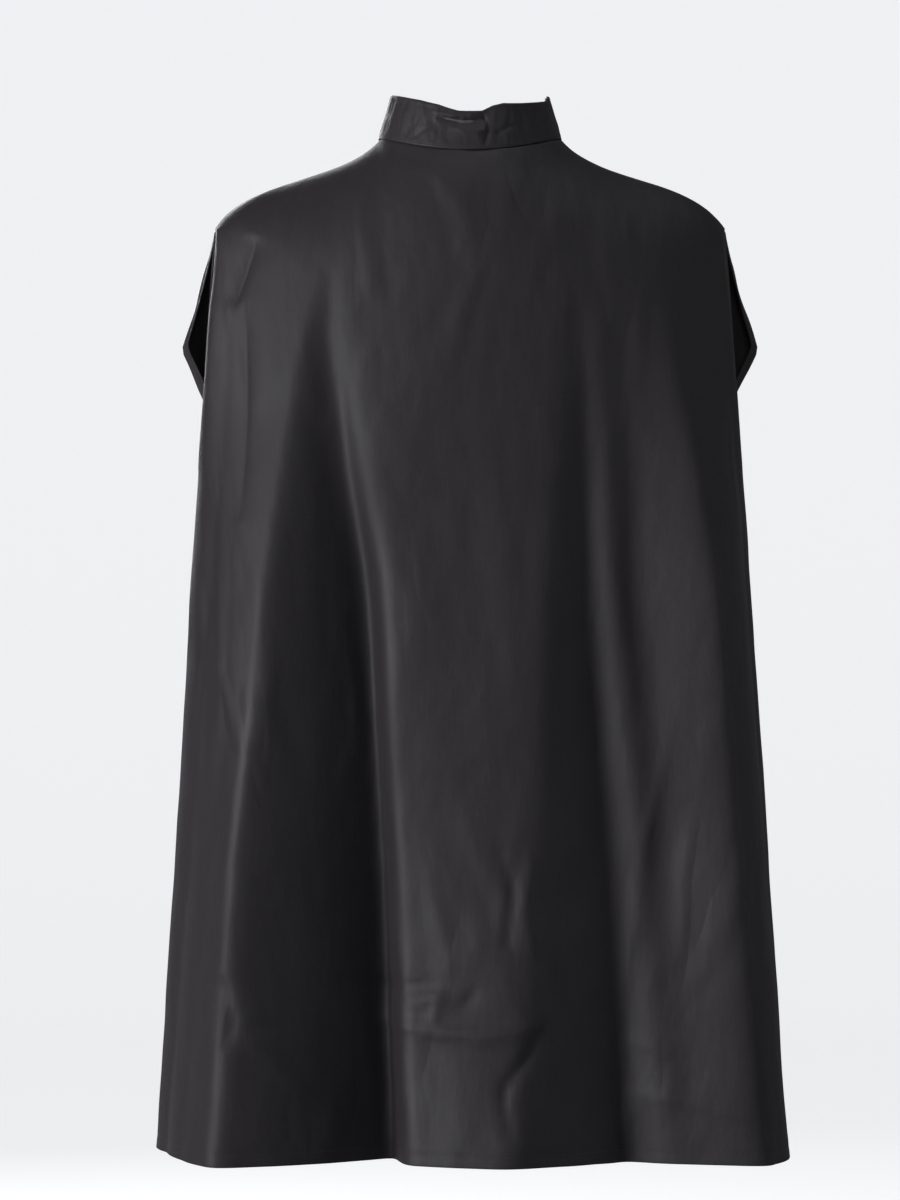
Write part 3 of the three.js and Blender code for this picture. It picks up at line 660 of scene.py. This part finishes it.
front_grids = {}
fronts = {}
for side, sign in (("left", 1), ("right", -1)):
    edge = angle_at(body_rows[:, 0], band_half_width + 0.002)[:, None]
    share = np.linspace(0, 1, front_columns)[None, :]
    under = [angle_at(body_rows[:, 0], band_half_width + x)[:, None] for x in under_band]
    theta = np.concatenate([mix(math.pi / 2 + seam_gap, edge, share), *under], 1)
    if side == "right":
        theta = -theta[:, ::-1]
    turn = np.abs(np.degrees(theta))
    grid = cape(theta, body_rows, "front")
    calm = ease((turn - 97) / 16) * ease((164 - turn) / 16)
    calm = calm * ease(body_rows / 0.08) * ease((0.5 - body_rows) / 0.2)
    grid = roll_shoulders(grid, calm)
    t = (body_rows - yoke_share) / (1 - yoke_share) / armhole_share
    over_arm = np.interp(t, [0, 0.15, elbow_share, 0.7, 1.05, 1.5], [0, 0.5, 1, 0.75, 0.3, 0])
    grid[..., 0] += sign * arm_swell * over_arm * ease((turn - 90) / 9) * ease((138 - turn) / 30)
    loose = ease((172 - turn) / 10) * ease(body_rows / 0.05)
    near_armhole = np.exp(-(((body_rows - 0.3) / 0.1) ** 2)) * ease((140 - turn) / 40)
    x, z = grid[..., 0], grid[..., 2]
    stand = crumples(x, z, 40 + sign) * loose
    stand = stand + near_armhole * loose * 0.003 * noise(turn / 9 + z * 9, z * 34, 50 + sign)
    grid = hang(grid, theta, body_rows, stand)
    tucked = under_band_depth * ease((band_half_width + 0.0010 - np.abs(grid[..., 0])) / 0.0010)
    grid = grid - level(normals(grid)) * tucked[..., None]
    if side == "left":
        grid = grid - level(normals(grid)) * underlap(grid[..., 0])[..., None]
    front_grids[side] = grid
    piece = cloth(f"{side}_front_cloth", tuck_in(turn_up(grid), theta), cloth_thickness, cotton)
    bend_at_fold(piece, side)
    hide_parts(f"{side}_front_side", f"{side}_front_flap")
    fronts[side] = piece


# ---- Front bands ----
# Each front ends in a band 30 mm wide: an outer strip and a facing of poplin with their edges turned in,
# and a strip of interlining between them. The right band lies over the left one.
turned_edge = 0.006
edge_stitch_in = 0.003
layer_depth = {"outer": 0.0, "interlining": 0.0011, "facing": 0.0027}

edge_stitch_sink = 0.0002
fold_round = 0.0004
interlining_thickness = 0.0005
interlining = poplin("charcoal_interlining", (0.055, 0.054, 0.058), (0.09, 0.088, 0.094), 0.0001, 0.00012)
layer_cloth = {
    "outer": (cloth_thickness, cotton, "cotton"),
    "interlining": (interlining_thickness, interlining, "interlining"),
    "facing": (cloth_thickness, cotton, "cotton"),
}


def turned_strip(half_width):
    """Cross-section of a strip with both edges folded under, as (x, depth) from left to right."""
    lap = half_width - turned_edge
    face = [half_width - fold_round, half_width - edge_stitch_in, 0.75 * half_width, 0.4 * half_width]
    left = [(lap, 2 * ply_gap), (half_width - fold_round, 2 * ply_gap), (half_width, ply_gap)]
    left += [(x, edge_stitch_sink if x == half_width - edge_stitch_in else 0.0) for x in face]
    return left + [(0.0, 0.0)] + [(-x, depth) for x, depth in reversed(left)]


def layer_piece(name, grid, layer):
    thickness, material, slot = layer_cloth[layer]
    ply = cloth(name, grid, thickness, material)
    return ply


band_plies = {}
for side, inset in (("left", underlap_inset), ("right", 0.0)):
    strip = turned_strip(band_half_width - 0.0002)
    for layer, depth in layer_depth.items():
        section = [(x, 0.0) for x in np.linspace(0.009, -0.009, 5)] if layer == "interlining" else strip
        columns = []
        for x, sunk in section:
            turn = angle_at(body_rows[:, 0], max(abs(x), 1e-6))
            turn = turn if x >= 0 else 2 * math.pi - turn
            point, outward = front_face(turn, body_rows[:, 0])
            inward = depth - sunk if layer == "facing" else depth + sunk
            columns.append(point - level(outward) * inset - outward * inward)
        if layer == "facing":
            columns.reverse()
        grid = np.stack(columns, 1)
        ply = layer_piece(f"{side}_band_{layer}_ply", grid, layer)
        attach(ply, f"{side}_flap")
        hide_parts(f"{side}_band_{layer}")
        band_plies[side, layer] = (ply, grid)


# ---- Stand collar ----
# A stiffened band round the neck, 38 mm high, in an outer and an inner ply of poplin over interlining. It
# has slumped at the nape, where the hair and head have pushed it into a few flat folds.
collar_height = 0.038
collar_lean = 0.14
collar_seam_gap = 0.0009
collar_round = 0.0013
top_dip_at = [-0.068, -0.058, -0.045, -0.028, -0.019, -0.014, -0.010, 0.010, 0.018, 0.027, 0.042, 0.068]
top_dip = [-0.0062, -0.0052, -0.003, 0, -0.001, -0.003, -0.0046, -0.0046, -0.003, -0.001, 0, -0.001]
collar_creases = [
    ([(0.028, 0.0205), (0.006, 0.0160), (-0.0135, 0.0180)], -0.0034, 0.0030),
    ([(0.018, 0.0115), (-0.002, 0.0065), (-0.018, 0.0105)], 0.0028, 0.0042),
    ([(-0.0100, 0.0245), (-0.0155, 0.0125), (-0.0120, -0.006)], -0.0030, 0.0026),
    ([(0.032, 0.0260), (0.016, 0.0215), (-0.004, 0.0215)], 0.0016, 0.0022),
    ([(-0.022, 0.0050), (-0.034, 0.0130), (-0.046, 0.0150)], -0.0016, 0.0032),
    ([(0.052, 0.0010), (0.036, 0.0120), (0.030, 0.0180)], -0.0014, 0.0034),
]


def collar_face(theta, height):
    """The collar's outer face at an angle and a height over its seam, and its level outward direction."""
    theta, height = np.broadcast_arrays(theta, height)
    rise = height / collar_height
    neck = cape(theta, np.zeros(theta.shape), "front")
    point = neck * np.stack([1 - collar_lean * rise] * 2 + [np.ones_like(rise)], -1)
    point[..., 2] += collar_seam_gap + height
    behind = ease((np.cos(theta) + 0.1) / 0.4)
    point[..., 2] += behind * rise**2 * np.interp(point[..., 0], top_dip_at, top_dip)
    outward = outward_of(np.arctan2(np.sin(theta) / neck_half_width, np.cos(theta) / neck_back))
    stand = 0.0005 * noise(theta * 9, height * 90, 60) + 0.0003 * noise(theta * 24, height * 150, 61)
    for route, depth, width in collar_creases:
        stand = stand + behind * crease(point[..., 0], point[..., 2], route, depth, width)
    free = ease(height / 0.006) * ease((165 - np.abs(np.degrees(theta))) / 15)
    return point + outward * (stand * free)[..., None], outward


def hold(piece, side):
    """What is at the back stays with the cape's body; what is in front only has its placement baked into its
    mesh.
    """
    if side == "back":
        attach(piece, "cape_body")
    else:
        bend_at_fold(piece, side)


collar_stitch_height = collar_height - 0.0045
collar_end = float(angle_at(np.array(0.0), band_half_width - 0.0002))
collar_ends = {"back": (-math.pi / 2, math.pi / 2), "left": (math.pi / 2, 2 * math.pi - collar_end),
               "right": (collar_end - 2 * math.pi, -math.pi / 2)}
collar_seam_stitch = 0.003
face_heights = [0.0003, 0.0015, collar_seam_stitch, *np.arange(0.0042, 0.0325, 0.0012)]
face_heights += [collar_stitch_height, 0.0347, 0.0358]
collar_plies = {}
for side, (start, end) in collar_ends.items():
    theta = np.linspace(start + 0.002, end - 0.002, 201 if side == "back" else 81)
    for layer, depth in layer_depth.items():
        if layer == "interlining":
            section = [(0.0355, 0), (0.029, 0), (0.022, 0), (0.014, 0), (0.0062, 0)]
        else:
            turns = [math.radians(a) for a in (90, 60, 30, 0)]
            over = [(collar_height - collar_round * (1 - math.sin(a)), collar_round * (1 - math.cos(a)))
                    for a in turns]
            sunk = {collar_stitch_height: edge_stitch_sink}
            face = [(height, sunk.get(height, 0.0)) for height in reversed(face_heights)]
            section = over + face + [(0.0, ply_gap), (0.0003, 2 * ply_gap), (0.005, 2 * ply_gap)]
        rows = []
        for height, sunk_in in section:
            point, outward = collar_face(theta, height)
            inward = depth - sunk_in if layer == "facing" else depth + sunk_in
            if side == "left":
                inward = (inward + underlap(point[..., 0]))[..., None]
            rows.append(point - outward * inward)
        grid = np.stack(rows, 0)
        if layer == "facing":
            grid = grid[:, ::-1]
        ply = layer_piece(f"collar_{side}_{layer}_ply", grid, layer)
        hold(ply, side)
        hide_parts(f"collar_{side}_{layer}")
        collar_plies[side, layer] = (ply, grid)


# ---- Armhole bindings ----
# Each armhole is the unsewn stretch of a side seam. A folded cotton tape closes both of its edges in one
# loop, 6 mm wide, stitched along its inner border.
binding_width = 0.0063
binding_lap = 0.0015
tape_black = poplin("black_tape", (0.014, 0.013, 0.015), (0.024, 0.022, 0.026), 0.0002, 0.00012)
binding_section = [(-1.0, 0.45), (-0.4, 0.55), (0.3, 0.55), (0.8, 0.50), (1.0, 0.1), (1.0, -0.5), (0.8, -0.9),
                   (0.3, -0.95), (-0.4, -0.95), (-1.0, -0.85)]
tape_round = 0.016


def tape(name, rings, closed):
    """A length of tape through its cross-sections, joined in a loop or shut at both ends, with a UV map."""
    count, ribs = rings.shape[:2]
    faces = [(i * ribs + j, i * ribs + (j + 1) % ribs, (i + 1) % count * ribs + (j + 1) % ribs,
              (i + 1) % count * ribs + j) for i in range(count if closed else count - 1) for j in range(ribs)]
    if not closed:
        faces += [tuple(range(ribs))[::-1], tuple((count - 1) * ribs + j for j in range(ribs))]
    piece = new_piece(name, rings, faces, tape_black)
    face_out(piece)
    around = np.linspace(0, tape_round, ribs)[None, :].repeat(count, 0)
    flat = np.stack([around, -lengths(rings, 0)], -1).reshape(-1, 2)
    corner_of = np.zeros(len(piece.data.loops), int)
    piece.data.loops.foreach_get("vertex_index", corner_of)
    layer = piece.data.uv_layers.new(name="cloth")
    layer.data.foreach_set("uv", flat[corner_of].astype(np.float32).ravel())
    return piece


binding_lines = {}
for side, sign in (("left", 1), ("right", -1)):
    t = np.linspace(0.012, 0.988, 84)
    row = yoke_share + t * armhole_share * (1 - yoke_share)
    halves = {half: cape(np.full(t.shape, sign * math.pi / 2), row, half) for half in ("back", "front")}
    path = np.concatenate([halves["back"], halves["front"][::-1]])
    for _ in range(6):
        path = (np.roll(path, 1, 0) + 2 * path + np.roll(path, -1, 0)) / 4
    tangent = np.roll(path, -1, 0) - np.roll(path, 1, 0)
    tangent /= np.linalg.norm(tangent, axis=-1, keepdims=True)
    inward = np.cross(tangent, [sign, 0, 0])
    inward /= np.linalg.norm(inward, axis=-1, keepdims=True)
    if ((path.mean(0) - path) * inward).sum() < 0:
        inward = -inward
    outward = np.cross(inward, tangent)
    outward *= np.sign(outward @ np.array([sign, 0, 0]))[:, None]
    middle = (halves["back"] + halves["front"]) / 2
    gap = np.abs(path[:, 1] - np.interp(path[:, 2], halves["back"][::-1, 2], middle[::-1, 1]))
    width = np.minimum(binding_width, 0.85 * gap)
    ring = []
    for a, b in binding_section:
        reach = mix(-binding_lap, width, (a + 1) / 2)
        ring.append(path + inward * reach[:, None] + outward * b * 0.001)
    ring = np.stack(ring, 1)
    binding = tape(f"{side}_armhole_binding_tape", ring, True)
    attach(binding, "cape_body")
    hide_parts(f"{side}_armhole_binding")
    border = path + inward * mix(-binding_lap, width, 0.16)[:, None] + outward * 0.00052
    binding_lines[side] = [np.concatenate([line, line[:1]]) for line in (border, outward)]


# ---- Hanger loop ----
# A loop of flat cotton tape inside the back of the neck. Its two ends are sewn to the collar's facing and
# the rest hangs free.
loop_half_span = 0.0205
loop_top = -0.006
loop_foot = -0.0325
loop_flat = 0.012
loop_face = 0.0645
tape_half_width = 0.0035
tape_half_thickness = 0.0006
half_path = [(loop_half_span, 0.0668, 0.0015), (loop_half_span, 0.0663, -0.0015),
             (loop_half_span, 0.0652, -0.004)]
for t in np.linspace(0, 1, 14):
    x = (1 - t) ** 2 * loop_half_span + 2 * t * (1 - t) * loop_half_span + t**2 * loop_flat
    z = (1 - t) ** 2 * loop_top + 2 * t * (1 - t) * loop_foot + t**2 * loop_foot
    half_path.append((x, loop_face, z))
half_path.append((0.5 * loop_flat, loop_face, loop_foot))
loop_path = np.array([(-x, y, z) for x, y, z in half_path] + [(0, loop_face, loop_foot)] + half_path[::-1])
tangent = np.gradient(loop_path, axis=0)
tangent /= np.linalg.norm(tangent, axis=-1, keepdims=True)
across = np.cross(tangent, [0, 1, 0])
across /= np.linalg.norm(across, axis=-1, keepdims=True)
through = np.cross(across, tangent)
section = [(1, 0.6), (0.9, 1), (0.45, 1), (0, 1), (-0.45, 1), (-0.9, 1), (-1, 0.6),
           (-1, -0.6), (-0.9, -1), (-0.45, -1), (0, -1), (0.45, -1), (0.9, -1), (1, -0.6)]
ring = np.stack([loop_path + across * a * tape_half_width + through * b * tape_half_thickness
                 for a, b in section], 1)
loop = tape("hanger_loop_tape", ring, False)
bpy.ops.object.shade_smooth_by_angle(angle=math.radians(40))
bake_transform(loop)
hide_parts("hanger_loop")


# ---- Press studs ----
# Seven press studs close the front. On the right band a domed cap outside holds a socket inside; on the
# left band a stud outside is riveted to a post inside. All are brass, lacquered black and a little worn.
stud_sides = 28
cap_seat = -0.0004

# Profiles as (radius, height) in millimetres, drawn round the turning axis.
profiles = {
    "cap": [(1.6, -1.2), (1.6, 0.3), (4.4, 0.3), (5.2, 0.32), (5.5, 0.55), (5.5, 0.8), (5.25, 1.0),
            (4.9, 1.02), (4.65, 1.12), (3.6, 1.55), (2.3, 1.85), (1.1, 1.97), (0.25, 2.0)],
    "socket": [(2.0, 1.2), (2.4, 1.2), (2.5, 1.0), (2.5, -0.6), (3.3, -0.75), (4.2, -0.7), (4.6, -0.4),
               (4.6, 0.9), (4.35, 1.2), (3.4, 1.3), (2.0, 1.3)],
    "stud": [(1.6, -1.2), (4.3, -1.2), (4.6, -1.0), (4.6, -0.6), (4.35, -0.4), (2.2, -0.35), (1.7, -0.25),
             (1.55, 0.1), (1.6, 0.4), (1.95, 0.75), (2.0, 0.95), (1.75, 1.15), (1.2, 1.25), (0.3, 1.25)],
    "post": [(1.9, -0.4), (4.4, -0.4), (4.8, -0.2), (4.8, 0.3), (4.6, 0.45), (3.0, 0.5), (1.9, 0.5)],
}


def lacquer():
    """Black lacquer over brass, with fine scratches, dulled patches and brass showing at a few specks."""
    material = bpy.data.materials.new("black_lacquer")
    material.use_nodes = True
    tree = material.node_tree
    shader = tree.nodes["Principled BSDF"]
    shader.inputs["Coat Weight"].default_value = 0.5
    shader.inputs["Coat Roughness"].default_value = 0.12
    place = node(tree, "ShaderNodeTexCoord")
    specks = node(tree, "ShaderNodeTexNoise", {0: place.outputs["Object"]}, in_2=1400.0, in_3=3.0)
    worn = node(tree, "ShaderNodeMapRange", {0: specks.outputs[0]}, in_1=0.68, in_2=0.72)
    colors = node(tree, "ShaderNodeMix", {0: worn.outputs[0]}, data_type="RGBA")
    colors.inputs[6].default_value = (0.012, 0.012, 0.013, 1)
    colors.inputs[7].default_value = (0.30, 0.22, 0.10, 1)
    tree.links.new(colors.outputs[2], shader.inputs["Base Color"])
    tree.links.new(worn.outputs[0], shader.inputs["Metallic"])
    haze = node(tree, "ShaderNodeTexNoise", {0: place.outputs["Object"]}, in_2=300.0, in_3=4.0)
    dull = node(tree, "ShaderNodeMapRange", {0: haze.outputs[0]}, in_1=0.3, in_2=0.7, in_3=0.22, in_4=0.42)
    tree.links.new(dull.outputs[0], shader.inputs["Roughness"])
    bumps = node(tree, "ShaderNodeBump", {3: haze.outputs[0]}, in_0=0.3, in_1=0.00005)
    tree.links.new(bumps.outputs[0], shader.inputs["Normal"])
    return material


def turned(name, profile, material):
    """A ring of metal with its turning axis up: circles drawn out one after another along a profile."""
    pick()
    r, z = profile[0]
    bpy.ops.mesh.primitive_circle_add(vertices=stud_sides, radius=r / 1000, location=(0, 0, z / 1000))
    piece = bpy.context.object
    piece.name = name
    bpy.ops.object.mode_set(mode="EDIT")
    bpy.ops.mesh.select_all(action="SELECT")
    for r2, z2 in profile[1:]:
        bpy.ops.mesh.extrude_region_move(TRANSFORM_OT_translate={"value": (0, 0, (z2 - z) / 1000)})
        bpy.ops.transform.resize(value=(r2 / r, r2 / r, 1), center_override=(0, 0, z2 / 1000))
        r, z = r2, z2
    bpy.ops.mesh.select_all(action="SELECT")
    bpy.ops.mesh.select_non_manifold()
    if profile[-1][0] < 0.5:
        bpy.ops.mesh.select_all(action="DESELECT")
        bpy.ops.object.mode_set(mode="OBJECT")
        last = len(piece.data.vertices) - stud_sides
        for vertex in piece.data.vertices:
            vertex.select = vertex.index >= last
        bpy.ops.object.mode_set(mode="EDIT")
        bpy.ops.mesh.merge(type="CENTER")
        bpy.ops.mesh.select_non_manifold()
        bpy.ops.mesh.fill()
    else:
        bpy.ops.mesh.bridge_edge_loops()
    bpy.ops.mesh.select_all(action="SELECT")
    bpy.ops.mesh.normals_make_consistent(inside=False)
    bpy.ops.object.mode_set(mode="OBJECT")
    bpy.ops.object.location_clear()
    piece.data.transform(Matrix.Translation((0, 0, profile[0][1] / 1000)))
    bpy.ops.object.shade_smooth_by_angle(angle=math.radians(35))
    piece.data.materials.append(material)
    return piece


def middle_of(node_name):
    low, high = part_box(node_name)
    return (Vector(low) + Vector(high)) / 2


lacquered = lacquer()
snap_names = ["collar_snap"] + [f"front_{k}_snap" for k in range(1, 7)]
models = {part: turned(f"{part}_model", profile, lacquered) for part, profile in profiles.items()}
for snap in snap_names:
    axis = (middle_of(f"{snap}_cap") - middle_of(f"{snap}_post")).normalized()
    upright = axis.to_track_quat("Z", "Y").to_matrix().to_4x4()
    for part, model in models.items():
        seat = middle_of(f"{snap}_{part}") + axis * (cap_seat if part == "cap" else 0.0)
        mesh = model.data.copy()
        mesh.transform(Matrix.Translation(seat) @ upright)
        piece = bpy.data.objects.new(f"{snap}_{part}_metal", mesh)
        bpy.context.scene.collection.objects.link(piece)
        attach(piece, "right_flap" if part in ("cap", "socket") else "left_flap")
        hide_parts(f"{snap}_{part}")
for model in models.values():
    bpy.data.objects.remove(model)


# ---- Stitching ----
# Black polyester thread: one row along the hem, rows down both edges of each front band, one under the
# collar's top edge and one above its seam, and one round each armhole binding.
stitch_length = 0.0026
stitch_gap = 0.0007
thread_radius = 0.00019
thread_black = plain_material("black_thread", (0.02, 0.018, 0.021), 0.55)
tree = thread_black.node_tree
place = node(tree, "ShaderNodeTexCoord")
twist = node(tree, "ShaderNodeTexWave", {0: place.outputs["Object"]}, in_1=1800.0, bands_direction="DIAGONAL")
tint = node(tree, "ShaderNodeMix", {0: twist.outputs[1]}, data_type="RGBA")
tint.inputs[6].default_value = (0.012, 0.011, 0.013, 1)
tint.inputs[7].default_value = (0.045, 0.042, 0.048, 1)
tree.links.new(tint.outputs[2], tree.nodes["Principled BSDF"].inputs["Base Color"])
ply_bump = node(tree, "ShaderNodeBump", {3: twist.outputs[1]}, in_0=0.5, in_1=0.00004)
tree.links.new(ply_bump.outputs[0], tree.nodes["Principled BSDF"].inputs["Normal"])


def stitches(name, runs):
    """A row of stitches along each (path, outward) run: small rounded capsules that dip in at both ends."""
    points, faces = [], []
    stations = [(-0.5, 0.3, -1.1), (-0.36, 0.9, -0.1), (0.0, 1.0, 0.45), (0.36, 0.9, -0.1), (0.5, 0.3, -1.1)]
    sides = 5
    for path, outward in runs:
        run = np.concatenate([[0], np.cumsum(np.linalg.norm(np.diff(path, axis=0), axis=1))])
        count = int(run[-1] / (stitch_length + stitch_gap))
        middles = (np.arange(count) + 0.5) * run[-1] / count

        def at(where, values):
            return np.stack([np.interp(where, run, values[:, k]) for k in range(3)], -1)

        up = at(middles, outward)
        ahead = at(middles + stitch_length / 4, path) - at(middles - stitch_length / 4, path)
        ahead /= np.linalg.norm(ahead, axis=-1, keepdims=True)
        up -= ahead * (up * ahead).sum(-1, keepdims=True)
        up /= np.linalg.norm(up, axis=-1, keepdims=True)
        beside = np.cross(ahead, up)
        made = []
        for along, thick, rise in stations:
            center = at(middles + along * stitch_length, path) + up * rise * thread_radius
            for k in range(sides):
                turn = 2 * math.pi * k / sides
                made.append(center + thread_radius * thick * (beside * math.cos(turn) + up * math.sin(turn)))
        made = np.stack(made, 1)
        start = sum(len(p) for p in points)
        points.append(made.reshape(-1, 3))
        ring = []
        for j in range(len(stations) - 1):
            for k in range(sides):
                a, b = j * sides + k, j * sides + (k + 1) % sides
                ring.append((a, b, b + sides, a + sides))
        ends = [tuple(range(sides))[::-1], tuple(range((len(stations) - 1) * sides, len(stations) * sides))]
        for i in range(count):
            shift = start + i * len(stations) * sides
            faces += [tuple(v + shift for v in face) for face in ring + ends]
    return new_piece(name, np.concatenate(points), faces, thread_black)


def row_of(grid, k):
    return grid[k], normals(grid)[k]


def column_of(grid, k):
    return grid[:, k], normals(grid)[:, k]


def sewn_row(name, side, *runs, body=None):
    """One row of stitching, which rides on a body, or else goes with its side's cloth."""
    row = stitches(name, runs)
    if body:
        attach(row, body)
    else:
        hold(row, side)
    return [row]


hem_rows_sewn = {"back": sewn_row("back_hem_stitching", "back", row_of(back_grid, stitch_row))}
band_rows_sewn = {}
collar_rows_sewn = {}
for side in ("left", "right"):
    hem_row = row_of(front_grids[side], stitch_row)
    hem_rows_sewn[side] = sewn_row(f"{side}_front_hem_stitching", side, hem_row)
    face = band_plies[side, "outer"][1]
    edges = column_of(face, 4), column_of(face, face.shape[1] - 5)
    band_rows_sewn[side] = sewn_row(f"{side}_band_stitching", side, *edges, body=f"{side}_flap")
for side in ("back", "left", "right"):
    face = collar_plies[side, "outer"][1]
    top = 4 + face_heights[::-1].index(collar_stitch_height)
    foot = 4 + face_heights[::-1].index(collar_seam_stitch)
    edges = row_of(face, top), row_of(face, foot)
    collar_rows_sewn[side] = sewn_row(f"collar_{side}_stitching", side, *edges)
for side in ("left", "right"):
    sewn_row(f"{side}_armhole_stitching", side, binding_lines[side], body="cape_body")


# ---- Cut sizes of the cloth ----
# For every sheet, the size it was cut to is worked out: its longest width and length laid flat, and the area
# of its cut. The sizes are not kept.
def cut(piece, grid, held, rests_on, with_pieces=(), extra=0.0):
    width = float(lengths(grid, 1)[:, -1].max())
    length = float(lengths(grid, 0)[-1].max()) + extra
    a, b = np.diff(grid, axis=1)[:-1], np.diff(grid, axis=0)[:, :-1]
    area = float(np.linalg.norm(np.cross(a, b), axis=-1).sum()) * (1 + extra / length)
    area = min(area, width * length)


cut(back, back_grid, "hung", [collar_plies["back", "outer"][0]], hem_rows_sewn["back"], extra=hem_width)
for side in ("left", "right"):
    collar_ply = collar_plies[side, "outer"][0]
    cut(fronts[side], front_grids[side], "hung", [collar_ply], hem_rows_sewn[side], extra=hem_width)
    for layer in layer_depth:
        held_with = band_rows_sewn[side] if layer == "outer" else []
        cut(*band_plies[side, layer], "hung", [fronts[side]], held_with)
for (side, layer), (ply, grid) in collar_plies.items():
    beside = back if side == "back" else fronts[side]
    cut(ply, grid, "folded", [beside], collar_rows_sewn[side] if layer == "outer" else [])
